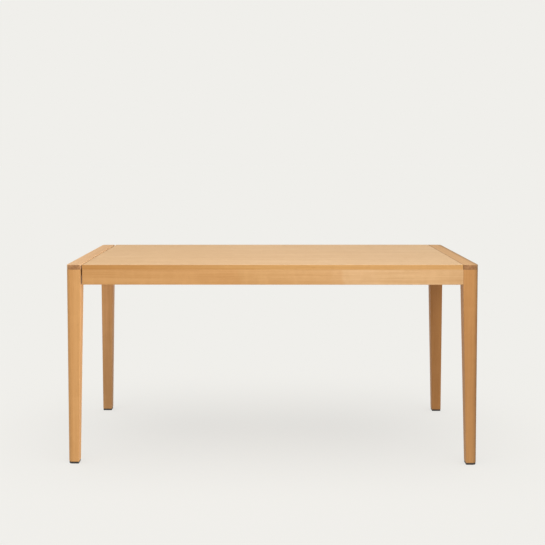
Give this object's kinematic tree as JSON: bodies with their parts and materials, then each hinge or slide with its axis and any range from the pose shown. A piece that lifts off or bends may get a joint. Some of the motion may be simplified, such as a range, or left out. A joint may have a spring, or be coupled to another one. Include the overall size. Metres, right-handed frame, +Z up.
{
  "type": "communion table",
  "caption": "Plain oblong wooden communion table on tapered square legs with flush aprons; the left end unit slides out on grooved runners for a stored leaf.",
  "frame": {"origin": "on the floor under the middle of the table as pictured, with its left end almost closed", "axes": "+X along the length towards the fixed right end, +Y towards the back, +Z up"},
  "size_m": [1.524, 0.762, 0.749],
  "materials": {
    "top_wood": "satin lacquer, grain along the length",
    "end_board_wood": "satin lacquer, grain front to back, dark end grain",
    "frame_wood": "satin lacquer",
    "inner_wood": "planed, unlacquered",
    "peg_wood": "turned, unlacquered",
    "steel": "zinc plated",
    "glide_plastic": "dark matt plastic"
  },
  "bodies": {
    "centre_and_right_end": {"top_centre_panel": "top_wood", "top_end_board_right": "end_board_wood", "seam_spline_right": "peg_wood", "apron_front": "frame_wood", "apron_back": "frame_wood", "apron_end_right": "frame_wood", "leg_front_right": "frame_wood", "leg_back_right": "frame_wood", "glide_front_right": "glide_plastic", "glide_back_right": "glide_plastic", "end_board_dowel_front_right": "peg_wood", "end_board_dowel_back_right": "peg_wood", "guide_rail_front": "inner_wood", "guide_rail_back": "inner_wood", "rail_screw_front_1": "steel", "rail_screw_front_2": "steel", "rail_screw_front_3": "steel", "rail_screw_back_1": "steel", "rail_screw_back_2": "steel", "rail_screw_back_3": "steel", "runner_stop_front": "inner_wood", "runner_stop_back": "inner_wood", "stop_screw_front": "steel", "stop_screw_back": "steel", "leaf_rest_batten_left": "inner_wood", "leaf_rest_batten_right": "inner_wood", "extension_leaf": "top_wood", "leaf_peg_left": "peg_wood", "leaf_peg_middle": "peg_wood", "leaf_peg_right": "peg_wood", "corner_brace_right_front": "inner_wood", "corner_brace_right_back": "inner_wood", "hanger_bolt_right_front": "steel", "hanger_bolt_right_back": "steel", "brace_washer_right_front": "steel", "brace_washer_right_back": "steel", "brace_nut_right_front": "steel", "brace_nut_right_back": "steel"},
    "left_end": {"top_end_board_left": "end_board_wood", "apron_end_left": "frame_wood", "leg_front_left": "frame_wood", "leg_back_left": "frame_wood", "glide_front_left": "glide_plastic", "glide_back_left": "glide_plastic", "runner_front": "inner_wood", "runner_back": "inner_wood", "runner_tie": "inner_wood", "runner_bracket_front": "steel", "runner_bracket_back": "steel", "bracket_screw_runner_front": "steel", "bracket_screw_runner_back": "steel", "bracket_screw_apron_front": "steel", "bracket_screw_apron_back": "steel", "locating_peg_front": "peg_wood", "locating_peg_middle": "peg_wood", "locating_peg_back": "peg_wood", "end_board_dowel_front_left": "peg_wood", "end_board_dowel_back_left": "peg_wood"}
  },
  "joints": [
    {"name": "left_end_slide", "type": "slide", "parent": "centre_and_right_end", "child": "left_end", "axis": [-1, 0, 0], "range_m": [-0.005, 0.4]}
  ]
}
